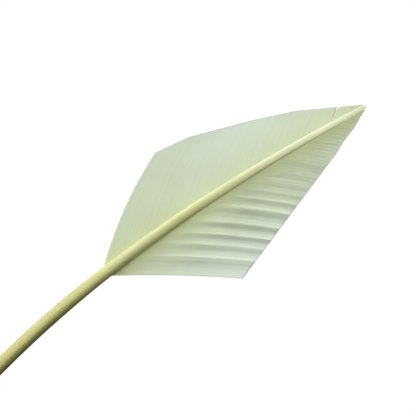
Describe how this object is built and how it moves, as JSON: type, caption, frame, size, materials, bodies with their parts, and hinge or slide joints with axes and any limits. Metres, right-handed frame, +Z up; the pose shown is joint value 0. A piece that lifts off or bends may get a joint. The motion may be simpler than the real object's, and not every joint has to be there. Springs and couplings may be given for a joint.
{
  "type": "turkey quill feather",
  "caption": "Pale dyed turkey quill feather with a bare lower shaft and vanes trimmed to an arrow-head outline, lying on its underside; used for quill pens, fletching and crafts.",
  "frame": {"origin": "middle of the feather's outline seen from above, on the surface it lies on", "axes": "+X from the open quill end to the cut tip, +Y towards the wider left vane, +Z up, out of the smooth upper side"},
  "size_m": [0.2245, 0.0616, 0.0058],
  "materials": {
    "shaft_keratin": "smooth horny keratin, yellowish, with a soft sheen",
    "vane_barbs": "fine parallel barbs, pale greenish ivory, matte with a faint silky sheen"
  },
  "bodies": {
    "root": {"shaft": "shaft_keratin", "left_vane": "vane_barbs", "right_vane": "vane_barbs"}
  },
  "joints": []
}
